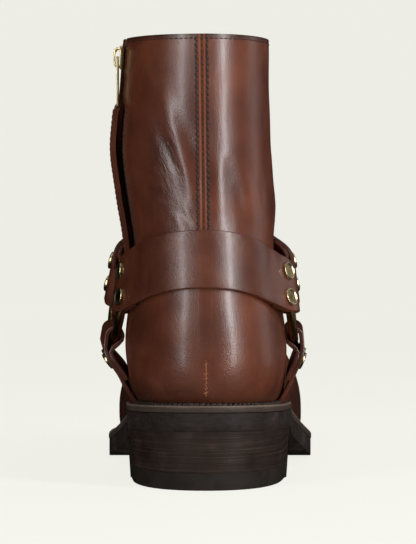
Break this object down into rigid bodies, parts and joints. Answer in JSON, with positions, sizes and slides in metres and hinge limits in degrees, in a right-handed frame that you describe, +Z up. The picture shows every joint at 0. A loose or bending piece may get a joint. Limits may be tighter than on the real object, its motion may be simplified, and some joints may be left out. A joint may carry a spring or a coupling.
{
  "type": "harness boot",
  "caption": "Ankle-high harness boot for the right foot with riveted straps joined by rings, an inner side zip, a stitched welt and a stacked heel.",
  "frame": {"origin": "middle of the boot's box on the floor it stands on", "axes": "+X to the outer side of the foot, +Y to the toe, +Z up"},
  "size_m": [0.107, 0.3006, 0.211],
  "materials": {
    "upper_leather": "burnished full-grain leather, semi-gloss",
    "strap_leather": "burnished strap leather with dark painted edges",
    "insole_leather": "natural lining leather",
    "welt_leather": "dark edge-dressed welt",
    "heel_leather": "edge-dressed stacked leather",
    "sole_rubber": "dull dark brown rubber",
    "top_lift_rubber": "dull black-brown rubber",
    "ring_brass": "antique brass, semi-gloss",
    "rivet_brass": "aged brass",
    "zip_brass": "polished brass",
    "zip_cloth": "woven black-brown tape"
  },
  "bodies": {
    "boot": {"upper": "upper_leather", "insole": "insole_leather", "welt": "welt_leather", "outsole": "sole_rubber", "top_lift": "top_lift_rubber", "heel_lift_1": "heel_leather", "heel_lift_2": "heel_leather", "heel_lift_3": "heel_leather", "heel_lift_4": "heel_leather", "ring_lateral": "ring_brass", "ring_medial": "ring_brass", "rear_strap": "strap_leather", "front_strap": "strap_leather", "stirrup_strap_lateral": "strap_leather", "stirrup_strap_medial": "strap_leather", "rivet_rear_lateral_1": "rivet_brass", "rivet_rear_lateral_2": "rivet_brass", "rivet_rear_medial_1": "rivet_brass", "rivet_rear_medial_2": "rivet_brass", "rivet_front_lateral_1": "rivet_brass", "rivet_front_lateral_2": "rivet_brass", "rivet_front_medial_1": "rivet_brass", "rivet_front_medial_2": "rivet_brass", "rivet_stirrup_lateral_1": "rivet_brass", "rivet_stirrup_lateral_2": "rivet_brass", "rivet_stirrup_medial_1": "rivet_brass", "rivet_stirrup_medial_2": "rivet_brass", "zip_tape": "zip_cloth", "zip_teeth": "zip_brass", "zip_slider": "zip_brass"},
    "zip_pull": {"zip_pull": "zip_brass"}
  },
  "joints": [
    {"name": "zip_pull_swing", "type": "hinge", "parent": "boot", "child": "zip_pull", "pos_m": [-0.04348, -0.10698, 0.202], "axis": [0, 1, 0], "range_deg": [0, 150]}
  ]
}
